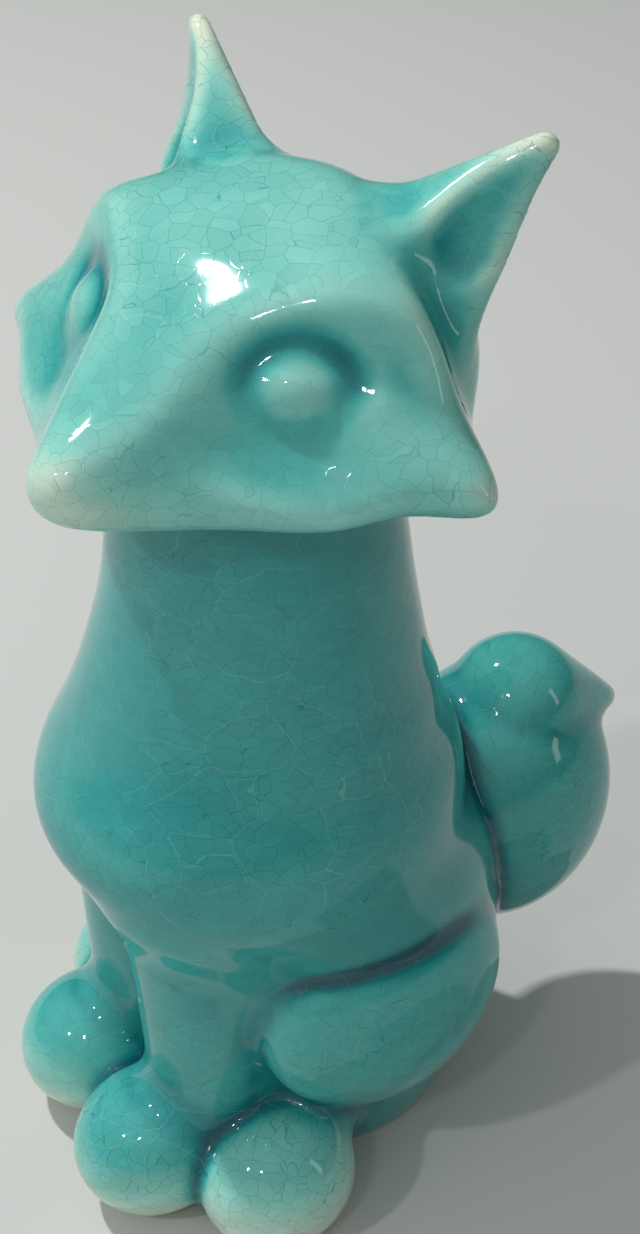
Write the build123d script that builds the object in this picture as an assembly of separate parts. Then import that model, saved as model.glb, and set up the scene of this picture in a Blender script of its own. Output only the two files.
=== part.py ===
# Sitting fox figurine in slip-cast earthenware with a crackled glaze.
# It is put together from separate castings that are luted to each other with slip:
# a hollow trunk, a hollow head, two ears, a hollow tail, two forelegs, two haunches and two hind paws.
# Units are millimetres. The fox faces -Y, its own left is +X, and +Z is up.
# The origin lies on the surface that the figurine stands on, under the middle of the fox.
import math
import os

from build123d import *

# Clay and slip
wall = 4.5
face_wall = 9.5
slip_thickness = 0.5
neck_clearance = 0.6
lute_clearance = 0.05

# Trunk: at each level its height, half width, half depth and how far forward its middle lies
foot_half_width = 20.5
foot_half_depth = 22.0
foot_forward = -4.5
seat_height = 14.0
seat_half_width = 25.0
seat_half_depth = 25.0
seat_forward = -6.0
hip_height = 36.0
hip_half_width = 30.5
hip_half_depth = 27.0
hip_forward = -6.5
belly_height = 51.0
belly_half_width = 31.5
belly_half_depth = 29.5
belly_forward = -3.5
chest_height = 72.5
chest_half_width = 33.2
chest_half_depth = 34.2
chest_forward = 7.8
shoulder_height = 94.0
shoulder_half_width = 27.6
shoulder_half_depth = 27.0
shoulder_forward = 6.4
throat_height = 113.4
throat_half_width = 23.5
throat_half_depth = 22.7
throat_forward = 5.6
neck_height = 137.0
neck_half_width = 21.0
neck_half_depth = 20.5
neck_forward = 6.0
spigot_height = 5.0
pour_hole_radius = 7.5
pour_hole_forward = -14.0

# Head, in its own frame: x to its left, y forward, z up from the jaw line
head_turn = 24.0
head_forward = 8.6
neck_in_jaw = 2.3
face_length = 37.2
nape_length = 32.0
cheek_half_width = 42.0
crown_height = 34.2
eye_half_width = 5.8
eye_half_height = 4.2
eye_bulge = 2.8
socket_half_width = 9.6
socket_half_height = 6.4
socket_depth = 2.0

# Face side: the way that its surface looks, in the head's frame
face_look = (0.56, 0.64, 0.53)

# Head outlines from back to front. Each starts with its share of the nape or the face length,
# and with a word on whether the head is hollow there.
# Its points run from the chin up to the crown, in hundredths of the cheek half width and crown height.
head_outlines = [
    (-1.00, False, [(0, 26), (12, 28), (19, 37), (19, 46), (17, 55), (12, 62), (6, 66), (0, 67)]),
    (-0.95, False, [(0, 14), (22, 17), (34, 32), (34, 45), (30, 58), (21, 69), (10, 74), (0, 76)]),
    (-0.84, True, [(0, 6), (29, 9), (46, 28), (46, 43), (40, 60), (29, 74), (14, 80), (0, 82)]),
    (-0.56, True, [(0, 2), (44, 2), (65, 18), (65, 38), (57, 63), (40, 86), (20, 97), (0, 100)]),
    (-0.27, True, [(0, 0), (58, 1), (84, 14), (76, 37), (66, 61), (49, 87), (26, 97), (0, 99)]),
    (-0.12, False, [(0, 0), (66, 1), (99, 14), (86, 37), (74, 61), (58, 85), (29, 94), (0, 96)]),
    (0.00, True, [(0, 0), (68, 1), (103, 14), (85, 37), (66, 60), (54, 84), (30, 91), (0, 92)]),
    (0.27, False, [(0, 0), (52, 1), (77, 13), (60, 30), (43, 49), (29, 72), (19, 77), (0, 77)]),
    (0.54, False, [(0, 1), (35, 2), (48, 13), (38, 25), (28, 38), (20, 53), (12, 58), (0, 59)]),
    (0.77, False, [(0, 4), (18, 5), (24, 14), (21, 25), (17, 34), (13, 41), (7, 44), (0, 45)]),
    (0.89, False, [(0, 7), (10, 8), (16, 15), (15, 23), (12, 30), (9, 36), (4, 39), (0, 39)]),
    (0.96, False, [(0, 11), (6, 12), (10, 18), (10, 23), (8, 28), (6, 32), (3, 34), (0, 34)]),
    (1.00, False, [(0, 16), (3, 17), (5, 19), (5, 22), (4, 24), (3, 26), (1, 27), (0, 27)]),
]

# Places on the head, in hundredths of the cheek half width, the face or nape length and the crown height:
# the middles of the eye and its socket, the middles of the ear's three root corners, and the ear tips
eye_place = (43.8, 22.3, 51.5)
socket_place = (44.4, 23.3, 56.0)
ear_front = (43, -42, 88)
ear_outer = (63, -52, 60)
ear_back = (27, -62, 90)
left_ear_tip = (74, -91, 125)
right_ear_tip = (74, -91, 131)

# Ears
ear_edge_radius = 2.2
ear_sink = 0.35
ear_taper = 0.97
ear_dish_half_length = 12.0
ear_dish_half_width = 5.6
ear_dish_depth = 2.6

# Forelegs and front paws
foreleg_top = 62.0
foreleg_left = 10.5
foreleg_forward = 21.5
foreleg_radius = 12.5
ankle_height = 12.0
ankle_radius = 10.0
forepaw_left = 12.4
forepaw_forward = 32.5
forepaw_height = 11.0
forepaw_half_width = 12.6
forepaw_half_length = 14.0
forepaw_half_height = 12.5

# Haunches and hind paws
haunch_left = 25.5
haunch_forward = -2.0
haunch_height = 40.0
haunch_half_thickness = 10.2
haunch_half_width = 19.0
haunch_half_length = 20.5
haunch_rise = 34.0
hindpaw_left = 28.0
hindpaw_forward = 17.5
hindpaw_height = 10.0
hindpaw_half_width = 11.4
hindpaw_half_length = 13.2
hindpaw_half_height = 12.5

# Tail
brush_forward = -38.0
brush_height = 51.0
brush_half_width = 18.5
brush_half_depth = 21.0
brush_half_height = 25.0
tip_root_forward = -41.5
tip_root_rise = 17.8
tip_root_radius = 11.6
tip_forward = -60.0
tip_rise = 12.0
tip_radius = 2.2
tail_vent_drop = 1.0
tail_vent_radius = 3.0

# Number of even steps from section to section up the trunk
trunk_sections = 20


def spot(left, forward, up):
    return Vector(left, -forward, up)


def ellipsoid(half_width, half_depth, half_height):
    # Turned so that the seam of its surface lies on the right, inside the body
    return scale(Rot(0, 0, 180) * Sphere(1), by=(half_width, half_depth, half_height))


def slopes(heights, values):
    rises = []
    for i in range(len(heights) - 1):
        rises.append((values[i + 1] - values[i]) / (heights[i + 1] - heights[i]))
    middle = []
    for low, high in zip(rises, rises[1:]):
        middle.append(2 * low * high / (low + high) if low * high > 0 else 0)
    return [rises[0], *middle, rises[-1]]


def smooth(heights, values, height):
    tilts = slopes(heights, values)
    i = max(k for k in range(len(heights) - 1) if heights[k] <= height)
    span = heights[i + 1] - heights[i]
    t = (height - heights[i]) / span
    start = values[i] * (1 + 2 * t) * (1 - t) ** 2 + tilts[i] * span * t * (1 - t) ** 2
    end = values[i + 1] * t * t * (3 - 2 * t) - tilts[i + 1] * span * t * t * (1 - t)
    return start + end


def level(forward, height, half_width, half_depth):
    return Plane(origin=spot(0, forward, height)) * Ellipse(half_width, half_depth, rotation=180)


def trunk_form(grow, bottom, top):
    heights = [
        0, seat_height, hip_height, belly_height, chest_height, shoulder_height, throat_height, neck_height,
        neck_height + spigot_height]
    widths = [
        foot_half_width, seat_half_width, hip_half_width, belly_half_width, chest_half_width,
        shoulder_half_width, throat_half_width, neck_half_width, neck_half_width]
    depths = [
        foot_half_depth, seat_half_depth, hip_half_depth, belly_half_depth, chest_half_depth,
        shoulder_half_depth, throat_half_depth, neck_half_depth, neck_half_depth]
    forwards = [
        foot_forward, seat_forward, hip_forward, belly_forward, chest_forward,
        shoulder_forward, throat_forward, neck_forward, neck_forward]
    sections = []
    for k in range(trunk_sections + 1):
        height = bottom + (top - bottom) * k / trunk_sections
        sections.append(level(
            smooth(heights, forwards, height), height,
            smooth(heights, widths, height) + grow, smooth(heights, depths, height) + grow))
    return loft(sections)


def neck_disc(grow, bottom, top):
    disc = level(neck_forward, bottom, neck_half_width + grow, neck_half_depth + grow)
    return extrude(disc, top - bottom)


def round_cone(start, start_radius, end, end_radius):
    axis = end - start
    lean = math.asin((start_radius - end_radius) / axis.length)
    low_turn = (lean - math.pi / 2) / 2
    high_turn = (lean + math.pi / 2) / 2
    low_edge = (start_radius * math.cos(lean), start_radius * math.sin(lean))
    low_bulge = (start_radius * math.cos(low_turn), start_radius * math.sin(low_turn))
    high_edge = (end_radius * math.cos(lean), axis.length + end_radius * math.sin(lean))
    high_bulge = (end_radius * math.cos(high_turn), axis.length + end_radius * math.sin(high_turn))
    low_pole = (0, -start_radius)
    high_pole = (0, axis.length + end_radius)
    outline = ThreePointArc(low_pole, low_bulge, low_edge)
    outline += Line(low_edge, high_edge)
    outline += ThreePointArc(high_edge, high_bulge, high_pole)
    outline += Line(high_pole, low_pole)
    solid = revolve(make_face(outline), Axis.Y)
    return Plane(origin=start, z_dir=axis, x_dir=(1, 0, 0)) * (Rot(90, 0, 0) * solid)


def head_spot(place):
    left, forward, up = [part / 100 for part in place]
    length = nape_length if forward < 0 else face_length
    return spot(left * cheek_half_width, forward * length, up * crown_height)


def head_face(share, outline, inset):
    forward = share * (nape_length if share < 0 else face_length)
    points = [Vector(x * cheek_half_width / 100, z * crown_height / 100) for x, z in outline]
    centre = (points[0] + points[-1]) / 2
    points = [point - (point - centre).normalized() * inset for point in points]
    around = [(p.X, p.Y) for p in points] + [(-p.X, p.Y) for p in reversed(points[1:-1])]
    shares = [k / len(around) for k in range(len(around) + 1)]
    plane = Plane(origin=spot(0, forward, 0), x_dir=(1, 0, 0), z_dir=(0, -1, 0))
    return plane * make_face(Edge.make_spline(around, periodic=True, parameters=shares))


def face_plane(place):
    look = spot(*face_look).normalized()
    along = Vector(0, 0, 1).cross(look)
    return Plane(origin=head_spot(place), x_dir=along, z_dir=look)


def both_sides(shape):
    return shape + mirror(shape, about=Plane.YZ)


def head_form():
    form = loft([head_face(share, outline, 0) for share, hollow, outline in head_outlines])
    socket = ellipsoid(socket_half_width, socket_half_height, socket_depth)
    eye = ellipsoid(eye_half_width, eye_half_height, eye_bulge)
    form -= both_sides(face_plane(socket_place) * socket)
    form += both_sides(face_plane(eye_place) * eye)
    return form


def head_cavity():
    sections = []
    for share, hollow, outline in head_outlines:
        if hollow:
            sections.append(head_face(share, outline, wall if share < 0 else face_wall))
    return loft(sections)


def place_head(shape):
    jaw_height = neck_height - neck_in_jaw
    return Pos(*spot(0, head_forward, jaw_height)) * (Rot(0, 0, head_turn) * shape)


def ear_form(tip_place):
    tip = head_spot(tip_place)
    corners = [head_spot(place) for place in (ear_front, ear_outer, ear_back)]
    middle = (corners[0] + corners[1] + corners[2]) / 3
    axis = (tip - middle).normalized()
    end = tip - axis * ear_edge_radius
    sections = []
    for share in (-ear_sink, ear_taper):
        centre = middle + (end - middle) * share
        plane = Plane(origin=centre, z_dir=axis, x_dir=(corners[1] - corners[2]).normalized())
        edges = []
        for corner in corners:
            offset = plane.to_local_coords(centre + (corner - middle) * (1 - share))
            edges.append(Pos(offset.X, offset.Y) * Edge.make_circle(ear_edge_radius))
        sections.append(plane * make_hull(edges))
    form = loft(sections)
    form += Pos(*end) * Sphere(ear_edge_radius)
    look = (corners[1] - corners[0]).cross(tip - corners[0]).normalized()
    root = (corners[0] + corners[1]) / 2
    face = Plane(origin=(root + tip) / 2 + look * ear_edge_radius, x_dir=tip - root, z_dir=look)
    form -= face * ellipsoid(ear_dish_half_length, ear_dish_half_width, ear_dish_depth)
    return form


def tail_form():
    brush = Pos(*spot(0, brush_forward, brush_height)) * ellipsoid(
        brush_half_width, brush_half_depth, brush_half_height)
    tip = round_cone(
        spot(0, tip_root_forward, brush_height + tip_root_rise), tip_root_radius,
        spot(0, tip_forward, brush_height + tip_rise), tip_radius)
    return brush + tip


def tail_cavity():
    return Pos(*spot(0, brush_forward, brush_height)) * ellipsoid(
        brush_half_width - wall, brush_half_depth - wall, brush_half_height - wall)


def main():
    os.makedirs("parts", exist_ok=True)
    reach = 2 * neck_height
    above_ground = Pos(0, 0, reach / 2) * Box(reach, reach, reach)
    left_half = Pos(reach / 2, 0, 0) * Box(reach, reach, reach)

    # Trunk with its spigot, its hollow, the pour hole in its foot and the vent into the tail
    trunk_outside = trunk_form(0, 0, neck_height)
    spigot_top = neck_height + spigot_height
    trunk = trunk_outside + neck_disc(-wall / 2, neck_height, spigot_top)
    trunk -= trunk_form(-wall, wall, spigot_top)
    trunk -= Pos(*spot(0, pour_hole_forward, 0)) * Cylinder(pour_hole_radius, 4 * wall)
    tail_vent = spot(0, 0, brush_height - tail_vent_drop)
    trunk -= Plane(origin=tail_vent, z_dir=(0, 1, 0)) * Cylinder(
        tail_vent_radius, -brush_forward, align=(Align.CENTER, Align.CENTER, Align.MIN))

    # Head on the spigot, with slip on the neck's rim and around the spigot
    head_outside = place_head(head_form())
    rim_top = neck_height + slip_thickness
    head = head_outside - place_head(head_cavity())
    head -= neck_disc(neck_clearance, neck_height - neck_in_jaw - wall, rim_top)
    head -= neck_disc(slip_thickness - wall / 2, neck_height, spigot_top + wall + socket_depth)
    neck_slip_ring = neck_disc(0, neck_height, rim_top)
    neck_slip_ring += neck_disc(slip_thickness - wall / 2, neck_height, spigot_top)
    neck_slip_ring -= neck_disc(-wall / 2, neck_height, spigot_top)

    left_ear = place_head(ear_form(left_ear_tip)) - head_outside
    right_ear = place_head(mirror(ear_form(right_ear_tip), about=Plane.YZ)) - head_outside

    # Limbs, each cut to fit the trunk and the limbs before it
    bed = trunk_form(lute_clearance, 0, neck_height)
    leg = round_cone(
        spot(foreleg_left, foreleg_forward, foreleg_top), foreleg_radius,
        spot(forepaw_left, foreleg_forward, ankle_height), ankle_radius)
    paw = Pos(*spot(forepaw_left, forepaw_forward, forepaw_height)) * ellipsoid(
        forepaw_half_width, forepaw_half_length, forepaw_half_height)
    foreleg_form = leg + paw
    haunch_form = Rot(haunch_rise, 0, 0) * ellipsoid(
        haunch_half_thickness, haunch_half_length, haunch_half_width)
    haunch_form = Pos(*spot(haunch_left, haunch_forward, haunch_height)) * haunch_form
    hindpaw_form = Pos(*spot(hindpaw_left, hindpaw_forward, hindpaw_height)) * ellipsoid(
        hindpaw_half_width, hindpaw_half_length, hindpaw_half_height)
    left_foreleg = (foreleg_form & left_half & above_ground) - bed
    left_haunch = haunch_form - foreleg_form - bed
    left_hind_paw = (hindpaw_form & above_ground) - foreleg_form - haunch_form - bed

    # Tail on the back, with slip in the joint
    tail_joint = trunk_form(slip_thickness, 0, neck_height)
    tail = tail_form() - tail_cavity() - tail_joint
    tail_slip_ring = (tail_form() & tail_joint) - trunk_outside - tail_cavity()

    pieces = {
        "trunk": trunk,
        "head": head,
        "neck_slip_ring": neck_slip_ring,
        "left_ear": left_ear,
        "right_ear": right_ear,
        "tail": tail,
        "tail_slip_ring": tail_slip_ring,
        "left_foreleg": left_foreleg,
        "right_foreleg": mirror(left_foreleg, about=Plane.YZ),
        "left_haunch": left_haunch,
        "right_haunch": mirror(left_haunch, about=Plane.YZ),
        "left_hind_paw": left_hind_paw,
        "right_hind_paw": mirror(left_hind_paw, about=Plane.YZ),
    }
    for name, piece in pieces.items():
        export_step(piece, f"parts/{name}.step")
        print(name, round(piece.volume), piece.is_valid, len(piece.solids()))


main()
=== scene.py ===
import math

import bpy
import numpy as np
import openvdb
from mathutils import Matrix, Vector


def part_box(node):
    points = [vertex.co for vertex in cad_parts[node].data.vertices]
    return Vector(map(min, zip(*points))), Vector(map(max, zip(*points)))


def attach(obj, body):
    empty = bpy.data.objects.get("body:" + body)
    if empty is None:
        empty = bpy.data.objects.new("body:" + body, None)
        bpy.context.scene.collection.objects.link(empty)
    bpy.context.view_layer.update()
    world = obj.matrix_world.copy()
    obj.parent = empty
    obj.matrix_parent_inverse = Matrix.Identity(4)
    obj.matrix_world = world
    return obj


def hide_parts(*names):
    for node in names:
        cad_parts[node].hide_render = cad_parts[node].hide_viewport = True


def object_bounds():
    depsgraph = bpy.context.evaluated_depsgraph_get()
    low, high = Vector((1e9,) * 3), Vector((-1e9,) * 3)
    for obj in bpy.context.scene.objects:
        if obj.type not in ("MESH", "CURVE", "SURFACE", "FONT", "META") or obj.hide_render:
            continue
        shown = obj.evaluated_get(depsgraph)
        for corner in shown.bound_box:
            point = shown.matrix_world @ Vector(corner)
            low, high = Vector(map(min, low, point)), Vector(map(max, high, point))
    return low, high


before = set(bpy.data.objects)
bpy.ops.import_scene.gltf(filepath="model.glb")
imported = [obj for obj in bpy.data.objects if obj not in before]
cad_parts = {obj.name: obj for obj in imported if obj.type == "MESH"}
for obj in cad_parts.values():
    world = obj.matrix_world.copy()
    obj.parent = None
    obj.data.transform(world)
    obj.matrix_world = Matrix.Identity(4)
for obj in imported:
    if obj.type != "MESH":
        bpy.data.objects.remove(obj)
cadLow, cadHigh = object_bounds()
print("castings loaded:", len(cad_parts))

# The castings are luted with slip and then glazed in one go, so one skin runs over all the seams.
# It is worked out on a grid of distances in millimetres, and then cut up along the seams again.
skin = {
    "voxel": 0.6,
    "margin": 10.0,  # free room round the castings
    "band": 10.0,  # depth to which distances are kept
    "seamFillet": 1.0,  # slip and glaze in a luted seam
    "edgeRound": 0.5,  # what glaze leaves of an outer edge
    "wristFillet": 6.0,  # leg into paw, in one casting
    "flickFillet": 1.2,  # tail brush into its tip
    "eyes": ((20.2, -8.7, 152.3), (-13.4, -23.7, 152.3)),
    "eyeFillet": 1.6,  # eye into its socket
    "eyeReach": 8.0,  # round each eye the press mould left the clay this soft
    "eyeBlur": 1.7,
    "legBlend": 10.0,  # this seam and the three below were sponged away over such a width
    "haunchBlend": 9.0,
    "hindPawBlend": 10.0,
    "earBlend": 5.0,
    "creaseBlend": 0.8,  # where a tool drew a seam sharp again
    "haunchEdge": (0.56, 0.83),  # way to the haunch's sharp edge, forwards and up
    "haunchSoft": 0.45,  # how far the seam is sponged level with the haunch's middle
    "haunchFade": 16.0,  # and the way from sponged to sharp
    "hindPawSoft": 0.4,
    "hindPawFade": 14.0,
    "grooveWidth": 0.8,
    "grooveDepth": 0.5,
    "grooveStart": 0.3,  # share of the groove level with the haunch's middle
    "grooveFade": 10.0,  # and the way over which it gets full
    "hollowGap": 0.05,  # the clearance between two castings isn't part of the hollow
    "normalStep": 0.8,  # of a voxel
    "normalBlur": 1.0,
}
voxel = skin["voxel"]
gridLow = np.array(cadLow) * 1000 - skin["margin"]
gridSpan = np.array(cadHigh) * 1000 + skin["margin"] - gridLow
gridShape = tuple(int(n) for n in np.ceil(gridSpan / voxel))
noFaces = {3: np.zeros((0, 3), np.uint32), 4: np.zeros((0, 4), np.uint32)}


def distanceTo(points, triangles, quads):
    grid = openvdb.FloatGrid.createLevelSetFromPolygons(
        np.ascontiguousarray((points - gridLow) / voxel, np.float32),
        triangles=np.ascontiguousarray(triangles, np.uint32),
        quads=np.ascontiguousarray(quads, np.uint32),
        halfWidth=skin["band"] / voxel)
    field = np.zeros(gridShape, np.float32)
    grid.copyToArray(field)
    return field * voxel


def surfaceOf(field, offset):
    grid = openvdb.FloatGrid(skin["band"] / voxel)
    grid.copyFromArray(np.ascontiguousarray(field / voxel, np.float32))
    points, quads = grid.convertToQuads(offset / voxel)
    return points.astype(float) * voxel + gridLow, quads


def distanceFrom(field, offset):
    points, quads = surfaceOf(field, offset)
    return distanceTo(points, noFaces[3], quads)


def castingDistance(name):
    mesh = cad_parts[name].data
    mesh.calc_loop_triangles()
    points = np.zeros(len(mesh.vertices) * 3)
    mesh.vertices.foreach_get("co", points)
    corners = np.zeros(len(mesh.loop_triangles) * 3, np.int32)
    mesh.loop_triangles.foreach_get("vertices", corners)
    return distanceTo(points.reshape(-1, 3) * 1000, corners.reshape(-1, 3), noFaces[4])


def openAir(free):
    # Spreads from one side of the grid until nothing more is reached
    air = np.zeros_like(free)
    air[0] = free[0]
    count = -1
    while count != air.sum():
        count = air.sum()
        for axis in range(3):
            for way in (1, -1):
                front = np.moveaxis(air, axis, 0)[::way]
                room = np.moveaxis(free, axis, 0)[::way]
                for i in range(1, len(front)):
                    front[i] |= front[i - 1] & room[i]
    return air


def blurred(field, radius):
    reach = max(1, round(radius / voxel))
    size = 2 * reach + 1
    for axis in range(3):
        count = field.shape[axis]
        padded = np.concatenate([
            np.repeat(np.take(field, [0], axis), reach + 1, axis), field,
            np.repeat(np.take(field, [-1], axis), reach, axis)], axis)
        total = np.cumsum(padded, axis, dtype=np.float64)
        ends = np.take(total, range(size, size + count), axis)
        field = (ends - np.take(total, range(count), axis)) / size
    return field.astype(np.float32)


def sampled(field, points):
    place = np.clip((points - gridLow) / voxel, 0, np.array(gridShape) - 1.001)
    cell = place.astype(int)
    share = place - cell
    value = np.zeros(len(points))
    for corner in np.ndindex(2, 2, 2):
        weight = np.prod(np.where(corner, share, 1 - share), axis=1)
        value += weight * field[tuple((cell + corner).T)]
    return value


def gridSpots():
    axes = [gridLow[k] + voxel * np.arange(gridShape[k]) for k in range(3)]
    return np.meshgrid(*axes, indexing="ij", sparse=True)


castings = {name: castingDistance(name) for name in sorted(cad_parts)}
bare = np.minimum.reduce(list(castings.values()))
gridX, gridY, gridZ = gridSpots()
aboveFloor = np.broadcast_to(gridZ > 0, gridShape)
print("distances to the castings:", gridShape)

# The floor closes the pour hole. Room that the open air can't reach keeps the castings' own wall.
# Where a seam lies right on a layer of the grid, the air gets in and the hollow counts as outside.
air = openAir((bare > 0) & aboveFloor)
hollow = np.where(air, -skin["band"], bare - skin["hollowGap"])
closedRoom = (~air & (bare > 0) & aboveFloor).sum() * voxel ** 3 / 1000
print("room shut off from the air:", int(closedRoom), "ml")


def filled(field, radius):
    # A ball of this radius can't get any deeper into a seam
    return distanceFrom(distanceFrom(field, radius), -radius)


def rounded(field, radius):
    return distanceFrom(distanceFrom(field, -radius), radius)


def sponged(fieldA, fieldB, width):
    share = np.clip(0.5 + 0.5 * (fieldB - fieldA) / width, 0, 1)
    return (fieldB + (fieldA - fieldB) * share - width * share * (1 - share)).astype(np.float32)


def boxMiddle(name):
    low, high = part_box(name)
    return (np.array(low) + np.array(high)) * 500


def haunchRise(name, y, z):
    middle = boxMiddle(name)
    forwards, up = skin["haunchEdge"]
    return (middle[1] - y) * forwards + (z - middle[2]) * up


def haunchWidth(name):
    # Drawn sharp along the upper front edge, sponged away along the lower back edge
    rise = haunchRise(name, gridY, gridZ)
    soft = np.clip(skin["haunchSoft"] - rise / skin["haunchFade"], 0, 1)
    return skin["creaseBlend"] + (skin["haunchBlend"] - skin["creaseBlend"]) * soft


def hindPawWidth(name):
    # Drawn sharp in front, sponged away towards the back
    back = gridY - boxMiddle(name)[1]
    soft = np.clip(skin["hindPawSoft"] + back / skin["hindPawFade"], 0, 1)
    return skin["creaseBlend"] + (skin["hindPawBlend"] - skin["creaseBlend"]) * soft


def drawnSeams(distances, y, z, width):
    # Nearness, from 0 to 1, to the seams that were drawn again with a tool
    total = 0
    for side, other in (("left_", "right_"), ("right_", "left_")):
        rise = haunchRise(side + "haunch", y, z)
        haunchShare = np.clip(skin["grooveStart"] + rise / skin["grooveFade"], 0, 1)
        for a, b, share in (
                ("trunk", side + "haunch", haunchShare),
                (side + "foreleg", side + "hind_paw", 1),
                (side + "haunch", side + "hind_paw", 1),
                (side + "foreleg", other + "foreleg", 0.5),
                ("trunk", "tail_slip_ring", 0.5)):
            away = np.maximum(np.abs(distances[a]), np.abs(distances[b]))
            total = np.maximum(total, share * np.exp(-(away / width) ** 2))
    return total


head = filled(castings["head"], skin["eyeFillet"])
softHead = blurred(blurred(head, skin["eyeBlur"]), skin["eyeBlur"])
for x, y, z in skin["eyes"]:
    away = np.sqrt((gridX - x) ** 2 + (gridY - y) ** 2 + (gridZ - z) ** 2)
    head = head + (softHead - head) * np.exp(-(away / skin["eyeReach"]) ** 2)
others = np.minimum.reduce([castings[name] for name in castings if name != "head"])
united = np.minimum(np.minimum(others, head), filled(castings["tail"], skin["flickFillet"]))
for side in ("left_", "right_"):
    leg = filled(castings[side + "foreleg"], skin["wristFillet"])
    united = np.minimum(united, sponged(castings["trunk"], leg, skin["legBlend"]))
    for name, width in ((side + "haunch", haunchWidth), (side + "hind_paw", hindPawWidth)):
        united = np.minimum(united, sponged(castings["trunk"], castings[name], width(name)))
    united = np.minimum(united, sponged(head, castings[side + "ear"], skin["earBlend"]))
solid = np.where(air | (bare < 0), united, -skin["band"])
firstLayer = int(np.argmax(gridZ.ravel() > 0))
# It goes on below the floor until it is cut there
solid[:, :, :firstLayer] = solid[:, :, firstLayer:firstLayer + 1]
joined = filled(distanceFrom(solid.astype(np.float32), 0.0), skin["seamFillet"])
joined = joined + skin["grooveDepth"] * drawnSeams(castings, gridY, gridZ, skin["grooveWidth"])
joined = np.maximum(joined, -gridZ).astype(np.float32)
joined = rounded(distanceFrom(joined, 0.0), skin["edgeRound"])
glazed = np.maximum(joined, hollow).astype(np.float32)
smoothed = blurred(blurred(glazed, skin["normalBlur"]), skin["normalBlur"])
print("skin run over the seams")


def skinNormals(points):
    step = skin["normalStep"] * voxel
    slope = np.zeros_like(points)
    for axis in range(3):
        shift = np.eye(3)[axis] * step
        slope[:, axis] = sampled(smoothed, points + shift) - sampled(smoothed, points - shift)
    return slope / np.maximum(np.linalg.norm(slope, axis=1, keepdims=True), 1e-9)


def evened(values, rounds):
    corners = skinQuads.ravel()
    uses = np.bincount(corners, minlength=len(values))
    for _ in range(rounds):
        middle = values[skinQuads].mean(axis=1)
        values = np.bincount(corners, np.repeat(middle, 4), len(values)) / np.maximum(uses, 1)
    return values


skinPoints, skinQuads = surfaceOf(glazed, 0.0)
skinPoints[:, 2] = np.maximum(skinPoints[:, 2], 0)
skinNormal = skinNormals(skinPoints)
edgeA = skinPoints[skinQuads[:, 2]] - skinPoints[skinQuads[:, 0]]
edgeB = skinPoints[skinQuads[:, 3]] - skinPoints[skinQuads[:, 1]]
if (np.cross(edgeA, edgeB) * skinNormal[skinQuads[:, 0]]).sum() < 0:
    skinQuads = skinQuads[:, ::-1]
print("skin meshed:", len(skinQuads), "quads")

# Glaze runs off what looks up and gathers in the seams: this gives its thickness at each point. The
# same value also carries painted shade and painted highlight, since it sets the glaze colour.
coat = {
    # an even coat for each casting; the trunk, tail and forelegs get a deeper, darker one, partly
    # real glaze and partly painted shade on their shaded sides
    "even": {
        "head": 0.41, "ear": 0.44, "tail": 0.60, "trunk": 0.65,
        "foreleg": 0.60, "haunch": 0.57, "hind_paw": 0.47},
    "evenReach": 0.8,  # mm over which one casting's coat runs into the next one's
    "runOff": 0.4,  # how much of a full run-off an upright wall has
    "narrow": 1.0,  # radius within which a dip or ridge counts as narrow
    "broad": (3.0, 2.0),  # and two radii, one after the other, for a broad one
    "seams": 2.2,  # by how much a narrow dip thickens it
    "hollows": 0.10,  # the same for a broad dip
    "ridges": 0.9,  # by how much a narrow ridge thins it
    "swells": 0.24,  # the same for a broad swell
    "fromSwell": 0.22,  # swells flatter than this keep their glaze
    "legSeams": 0.85,  # share of the dips without glaze where the forelegs were sponged smooth
    "legSeamReach": 7.0,
    "drawn": 1.1,  # how far a seam that was drawn with a tool is filled
    "drawnWidth": 1.4,
    "drawnFull": 1.05,  # thickness in a full seam
    "eyePools": 0.24,  # in a ring round each eye, most of it above
    "eyePoolRadius": 6.6,
    "eyePoolWidth": 1.8,
    "eyePoolLevel": 0.6,  # share level with the eye
    "eyePoolFade": 8.0,
    "nose": (17.0, -41.0, 139.5),  # paler here: a thinner coat on the nose tip, with a painted highlight
    "noseThin": 0.28,
    "noseReach": 9.0,
    "toes": 0.72,  # how much was wiped off the toes, made stronger as painted light on the paws' fronts
    "toeHeight": 19.0,  # from here down
    "toeBack": -5.0,  # and in front of here
    "settling": 1.8,  # mm over which the wet coat evened itself
    "footBare": 0.35,  # height up to which the foot was wiped bare
    "wallNear": 0.4,  # clay is bare this near to a hollow's wall
    "wallDepth": 1.2,  # and at least this deep under the outer skin
}
finePool = -sampled(blurred(joined, coat["narrow"]), skinPoints)
broadPool = joined
for radius in coat["broad"]:
    broadPool = blurred(broadPool, radius)
broadPool = -sampled(broadPool, skinPoints)
broadPool -= np.median(broadPool)
looksUp = np.clip(coat["runOff"] + skinNormal[:, 2], 0, 1)
near = {name: sampled(castings[name], skinPoints) for name in castings}
shown = [name for name in castings if not name.endswith("slip_ring")]
for side in ("left_", "right_"):
    away = np.maximum(np.abs(near["trunk"]), np.abs(near[side + "foreleg"]))
    lost = coat["legSeams"] * np.maximum(finePool, 0)
    finePool = finePool - lost * np.exp(-(away / coat["legSeamReach"]) ** 2)

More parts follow.
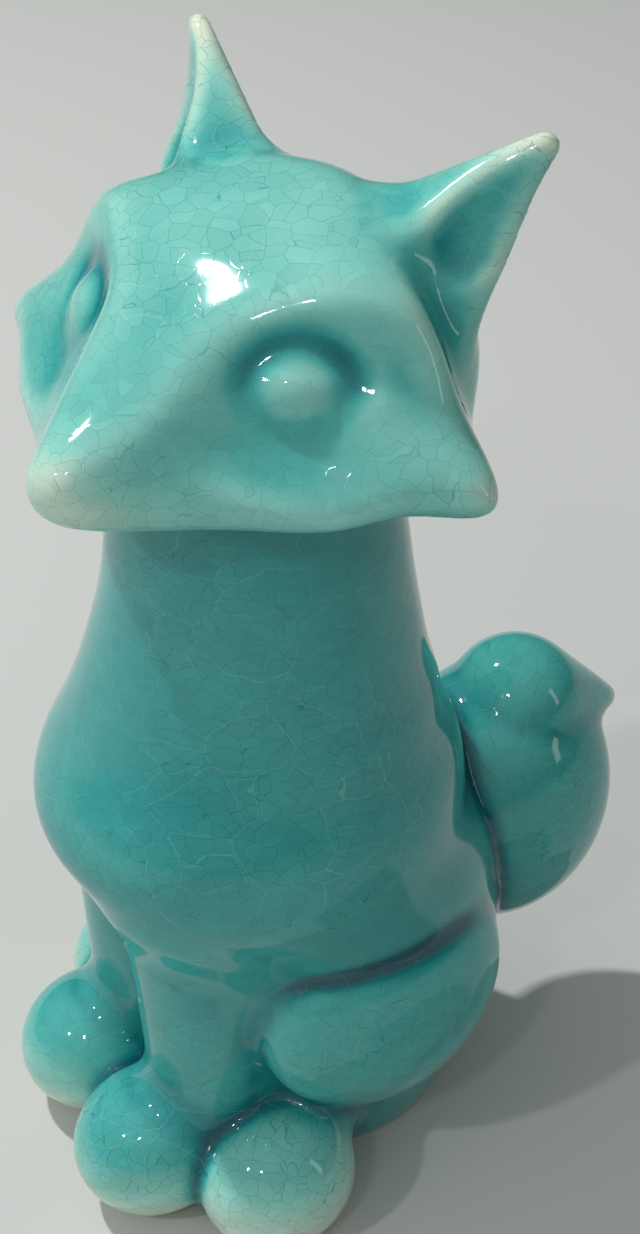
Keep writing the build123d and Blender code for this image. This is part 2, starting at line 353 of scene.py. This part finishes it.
coatAndPaintedLight = np.zeros(len(skinPoints))
weights = {name: (np.abs(near[name]) + coat["evenReach"]) ** -2 for name in shown}
allWeights = sum(weights.values())
for name, weight in weights.items():
    kind = name.replace("left_", "").replace("right_", "")
    coatAndPaintedLight += coat["even"][kind] * weight / allWeights
coatAndPaintedLight += np.where(finePool > 0, coat["seams"], coat["ridges"] * looksUp) * finePool
coatAndPaintedLight += coat["hollows"] * np.maximum(broadPool, 0)
coatAndPaintedLight += coat["swells"] * looksUp * np.minimum(broadPool + coat["fromSwell"], 0)
# Paler towards the bottom front of the paws and legs: glaze wiped off there, and partly painted
# light on them
toeFade = np.clip(1 - skinPoints[:, 2] / coat["toeHeight"], 0, 1)
coatAndPaintedLight -= coat["toes"] * toeFade * (skinPoints[:, 1] < coat["toeBack"])
for eye in skin["eyes"]:
    toRing = np.linalg.norm(skinPoints - eye, axis=1) - coat["eyePoolRadius"]
    height = skinPoints[:, 2] - eye[2]
    above = np.clip(coat["eyePoolLevel"] + height / coat["eyePoolFade"], 0, 1)
    coatAndPaintedLight += coat["eyePools"] * np.exp(-(toRing / coat["eyePoolWidth"]) ** 2) * above
# Paler round the nose tip: a thinner coat and a painted highlight
toNose = np.linalg.norm(skinPoints - coat["nose"], axis=1)
coatAndPaintedLight -= coat["noseThin"] * np.exp(-(toNose / coat["noseReach"]) ** 2)
coatAndPaintedLight = evened(coatAndPaintedLight, round(coat["settling"] / voxel))
drawn = evened(drawnSeams(near, skinPoints[:, 1], skinPoints[:, 2], coat["drawnWidth"]), 1)
coatAndPaintedLight += coat["drawn"] * drawn * (coat["drawnFull"] - coatAndPaintedLight)
coatAndPaintedLight = np.clip(coatAndPaintedLight, 0, 1)
inHollow = sampled(hollow, skinPoints) > -coat["wallNear"]
inHollow &= sampled(joined, skinPoints) < -coat["wallDepth"]
bareClay = (inHollow | (skinPoints[:, 2] < coat["footBare"])).astype(np.float32)
print("coat laid on: thin to thick", np.percentile(coatAndPaintedLight, [1, 25, 50, 75, 99]).round(2))

# Each face of the skin belongs to the casting that lies nearest below it
middles = skinPoints[skinQuads].mean(axis=1)
nearest = np.argmin([np.abs(sampled(castings[name], middles)) for name in shown], axis=0)


def linear(code):
    parts = [int(code[k:k + 2], 16) / 255 for k in (1, 3, 5)]
    return [p / 12.92 if p <= 0.04045 else ((p + 0.055) / 1.055) ** 2.4 for p in parts] + [1.0]


def addNode(tree, kind, inputs, **settings):
    node = tree.nodes.new(kind)
    for name, value in settings.items():
        setattr(node, name, value)
    for name, value in inputs.items():
        if isinstance(value, bpy.types.NodeSocket):
            tree.links.new(value, node.inputs[name])
        else:
            node.inputs[name].default_value = value
    return node


glaze = {
    "colours": (  # share of the full thickness, and what it looks like
        (0.0, "#dbe5cf"),  # the clay shows through on ridges, rims and toes; the painted light on the toes and the painted highlight on the nose tip use it too
        (0.3, "#93d3c6"),
        (0.5, "#4fb1aa"),
        (0.72, "#1f8a8c"),
        (1.0, "#04505c"),  # thick in seams
    ),
    "clay": "#e2d7c2",
    "ior": 1.52,
    "roughness": 0.05,
    "clayRoughness": 0.7,
    "cloud": 22.2,  # mm from one thicker patch to the next
    "cloudDepth": 0.2,
    # Two nets of craze: mm across a cell, mm of hairline (drawn wider than real so that it shows),
    # its tint, how it goes on and how much
    "nets": ((10.0, 0.09, "#c4e6da", "MIX", 0.16), (2.8, 0.07, "#9dbdb8", "MULTIPLY", 0.75)),
    "cellTone": 0.06,  # how much lighter or darker a small cell is
    "cellHeight": 1.5,  # cells are this much wider than high
    "bend": 3.0,  # mm by which the hairlines wander
    "bendLength": 7.14,
    "patch": 35.7,  # mm from where the craze shows to where it is faint
    "patchEdges": (0.35, 0.6),
    "faint": 0.3,
    "wave": 9.0,  # mm from swell to swell in the glaze's own surface
    "waveStrength": 0.06,
    "waveDepth": 0.6,
    "crazeStrength": 0.04,
    "crazeDepth": 0.1,
}


def crackleGlaze():
    # Earthenware under a glossy copper-blue glaze that crazed in cooling:
    # paler where it ran thin, deeper where it pooled, with a net of hairlines under a wet shine,
    # and dull cream clay where no glaze is
    material = bpy.data.materials.new("crackle-glazed earthenware")
    material.use_nodes = True
    tree = material.node_tree
    shader = tree.nodes["Principled BSDF"]
    place = addNode(tree, "ShaderNodeTexCoord", {}).outputs["Object"]
    pool = addNode(tree, "ShaderNodeAttribute", {}, attribute_name="pool").outputs["Fac"]
    clay = addNode(tree, "ShaderNodeAttribute", {}, attribute_name="clay").outputs["Fac"]
    cloud = addNode(
        tree, "ShaderNodeTexNoise",
        {"Vector": place, "Scale": 1000 / glaze["cloud"], "Detail": 3.0}).outputs["Fac"]
    uneven = addNode(
        tree, "ShaderNodeMath",
        {0: cloud, 1: glaze["cloudDepth"], 2: -glaze["cloudDepth"] / 2},
        operation="MULTIPLY_ADD").outputs[0]
    # The coat value holds painted shade and painted highlight as well as glaze thickness, so the
    # ramp paints them into the colour
    thick = addNode(tree, "ShaderNodeMath", {0: pool, 1: uneven}, operation="ADD").outputs[0]
    ramp = addNode(tree, "ShaderNodeValToRGB", {"Fac": thick})
    while len(ramp.color_ramp.elements) < len(glaze["colours"]):
        ramp.color_ramp.elements.new(0.5)
    for element, (position, code) in zip(ramp.color_ramp.elements, glaze["colours"]):
        element.position = position
        element.color = linear(code)

    bend = addNode(
        tree, "ShaderNodeTexNoise",
        {"Vector": place, "Scale": 1000 / glaze["bendLength"], "Detail": 2.0}).outputs["Color"]
    shift = addNode(
        tree, "ShaderNodeVectorMath", {0: bend, 1: (0.5,) * 3}, operation="SUBTRACT").outputs[0]
    bent = addNode(
        tree, "ShaderNodeVectorMath", {0: shift, 1: (glaze["bend"] / 1000,) * 3, 2: place},
        operation="MULTIPLY_ADD").outputs[0]
    flat = addNode(
        tree, "ShaderNodeVectorMath", {0: bent, 1: (1.0, 1.0, glaze["cellHeight"])},
        operation="MULTIPLY").outputs[0]
    tone = addNode(
        tree, "ShaderNodeTexVoronoi",
        {"Vector": flat, "Scale": 1000 / glaze["nets"][1][0]}, feature="F1").outputs["Color"]
    cellTone = addNode(
        tree, "ShaderNodeMapRange",
        {"Value": tone, "To Min": 1 - glaze["cellTone"], "To Max": 1 + glaze["cellTone"]}).outputs[0]
    crazed = addNode(
        tree, "ShaderNodeMix", {"Factor": 1.0, "A": ramp.outputs["Color"], "B": cellTone},
        data_type="RGBA", blend_type="MULTIPLY").outputs["Result"]
    patch = addNode(
        tree, "ShaderNodeTexNoise",
        {"Vector": place, "Scale": 1000 / glaze["patch"], "Detail": 1.0}).outputs["Fac"]
    patchFrom, patchTo = glaze["patchEdges"]
    sunk = 0.0
    for cell, width, tint, way, share in glaze["nets"]:
        net = addNode(
            tree, "ShaderNodeTexVoronoi", {"Vector": flat, "Scale": 1000 / cell},
            feature="DISTANCE_TO_EDGE").outputs["Distance"]
        line = addNode(
            tree, "ShaderNodeMapRange",
            {"Value": net, "From Max": width / cell, "To Min": 1.0, "To Max": 0.0},
            interpolation_type="SMOOTHSTEP").outputs[0]
        shows = addNode(
            tree, "ShaderNodeMapRange",
            {"Value": patch, "From Min": patchFrom, "From Max": patchTo,
             "To Min": glaze["faint"] * share, "To Max": share}).outputs[0]
        lineShare = addNode(
            tree, "ShaderNodeMath", {0: line, 1: shows}, operation="MULTIPLY").outputs[0]
        crazed = addNode(
            tree, "ShaderNodeMix", {"Factor": lineShare, "A": crazed, "B": linear(tint)},
            data_type="RGBA", blend_type=way).outputs["Result"]
        sunk = addNode(tree, "ShaderNodeMath", {0: lineShare, 1: sunk}, operation="ADD").outputs[0]

    colour = addNode(
        tree, "ShaderNodeMix", {"Factor": clay, "A": crazed, "B": linear(glaze["clay"])},
        data_type="RGBA").outputs["Result"]
    dullness = addNode(
        tree, "ShaderNodeMapRange",
        {"Value": clay, "To Min": glaze["roughness"], "To Max": glaze["clayRoughness"]}).outputs[0]
    swell = addNode(
        tree, "ShaderNodeTexNoise",
        {"Vector": place, "Scale": 1000 / glaze["wave"], "Detail": 1.0}).outputs["Fac"]
    wavy = addNode(
        tree, "ShaderNodeBump",
        {"Height": swell, "Strength": glaze["waveStrength"],
         "Distance": glaze["waveDepth"] / 1000}).outputs["Normal"]
    relief = addNode(
        tree, "ShaderNodeBump",
        {"Height": sunk, "Strength": glaze["crazeStrength"],
         "Distance": glaze["crazeDepth"] / 1000, "Normal": wavy}, invert=True).outputs["Normal"]
    tree.links.new(colour, shader.inputs["Base Color"])
    tree.links.new(dullness, shader.inputs["Roughness"])
    tree.links.new(relief, shader.inputs["Normal"])
    shader.inputs["IOR"].default_value = glaze["ior"]
    return material


glazeMaterial = crackleGlaze()


def cutPiece(name, code):
    quads = skinQuads[nearest == code]
    used, corners = np.unique(quads, return_inverse=True)
    mesh = bpy.data.meshes.new(name + "_skin")
    mesh.from_pydata((skinPoints[used] / 1000).tolist(), [], corners.reshape(-1, 4).tolist())
    mesh.shade_smooth()
    mesh.normals_split_custom_set_from_vertices(skinNormal[used].tolist())
    for label, values in (("pool", coatAndPaintedLight), ("clay", bareClay)):
        attribute = mesh.attributes.new(label, "FLOAT", "POINT")
        attribute.data.foreach_set("value", values[used].astype(np.float32))
    mesh.materials.append(glazeMaterial)
    piece = bpy.data.objects.new("glazed_" + name, mesh)
    bpy.context.scene.collection.objects.link(piece)
    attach(piece, "root")
    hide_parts(name)
    return piece


pieces = {name: cutPiece(name, code) for code, name in enumerate(shown)}
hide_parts("neck_slip_ring")
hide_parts("tail_slip_ring")
print("pieces:", {name: len(piece.data.polygons) for name, piece in pieces.items()})

stageSet = {
    "floor": "#c9cac6",
    "floorReach": 3.0,
    "sky": "#e6ecec",
    "skyLean": (0.22, -0.38, 0.90),  # most light from above, a little more from the front left
    "overhead": 0.66,
    "around": 0.02,  # light from level with the floor and below
    "lamps": {  # place, size and watts
        "key": ((-0.50, -0.28, 0.98), (0.035, 0.06), 7.5),
        "front": ((0.16, -0.80, 0.80), (0.04, 0.04), 1.8),
        "fill": ((0.50, -0.55, 0.85), (0.05, 0.05), 0.6),
        "side": ((0.75, 0.75, 0.45), (0.12, 0.5), 0.4),
    },
    "lampsLookAt": (0, 0, 0.1),
    "camera": (0.2184, -0.1071, 0.280),
    "turn": (53.5, 0.0, 62.9),
    "lens": 58.35,
}


def floorPlane():
    # Matt paper without a shine, so that only the shadow shows on it
    mesh = bpy.data.meshes.new("floor")
    far = stageSet["floorReach"]
    corners = [(-far, -far, 0), (far, -far, 0), (far, far, 0), (-far, far, 0)]
    mesh.from_pydata(corners, [], [(0, 1, 2, 3)])
    material = bpy.data.materials.new("matt studio paper")
    material.use_nodes = True
    shader = material.node_tree.nodes["Principled BSDF"]
    shader.inputs["Base Color"].default_value = linear(stageSet["floor"])
    shader.inputs["Roughness"].default_value = 0.9
    mesh.materials.append(material)
    floor = bpy.data.objects.new("floor", mesh)
    bpy.context.scene.collection.objects.link(floor)


def addLamp(name, place, size, power):
    data = bpy.data.lights.new(name, "AREA")
    data.shape = "RECTANGLE"
    data.size, data.size_y = size
    data.energy = power
    lamp = bpy.data.objects.new(name, data)
    lamp.location = place
    look = Vector(stageSet["lampsLookAt"]) - Vector(place)
    lamp.rotation_euler = look.to_track_quat("-Z", "Y").to_euler()
    bpy.context.scene.collection.objects.link(lamp)


def studio():
    floorPlane()
    for name, (place, size, power) in stageSet["lamps"].items():
        addLamp(name, place, size, power)
    world = bpy.data.worlds.new("studio")
    bpy.context.scene.world = world
    world.use_nodes = True
    tree = world.node_tree
    direction = addNode(tree, "ShaderNodeTexCoord", {}).outputs["Generated"]
    height = addNode(
        tree, "ShaderNodeVectorMath", {0: direction, 1: stageSet["skyLean"]},
        operation="DOT_PRODUCT").outputs["Value"]
    glow = addNode(
        tree, "ShaderNodeMapRange",
        {"Value": height, "To Min": stageSet["around"], "To Max": stageSet["overhead"]}).outputs[0]
    sky = tree.nodes["Background"]
    sky.inputs["Color"].default_value = linear(stageSet["sky"])
    tree.links.new(glow, sky.inputs["Strength"])
    data = bpy.data.cameras.new("camera")
    data.lens = stageSet["lens"]
    data.clip_start, data.clip_end = 0.01, 20
    camera = bpy.data.objects.new("camera", data)
    camera.location = stageSet["camera"]
    camera.rotation_euler = [math.radians(a) for a in stageSet["turn"]]
    bpy.context.scene.collection.objects.link(camera)
    bpy.context.scene.camera = camera
    bpy.context.scene.view_settings.view_transform = "Standard"


studio()
print("studio set up")
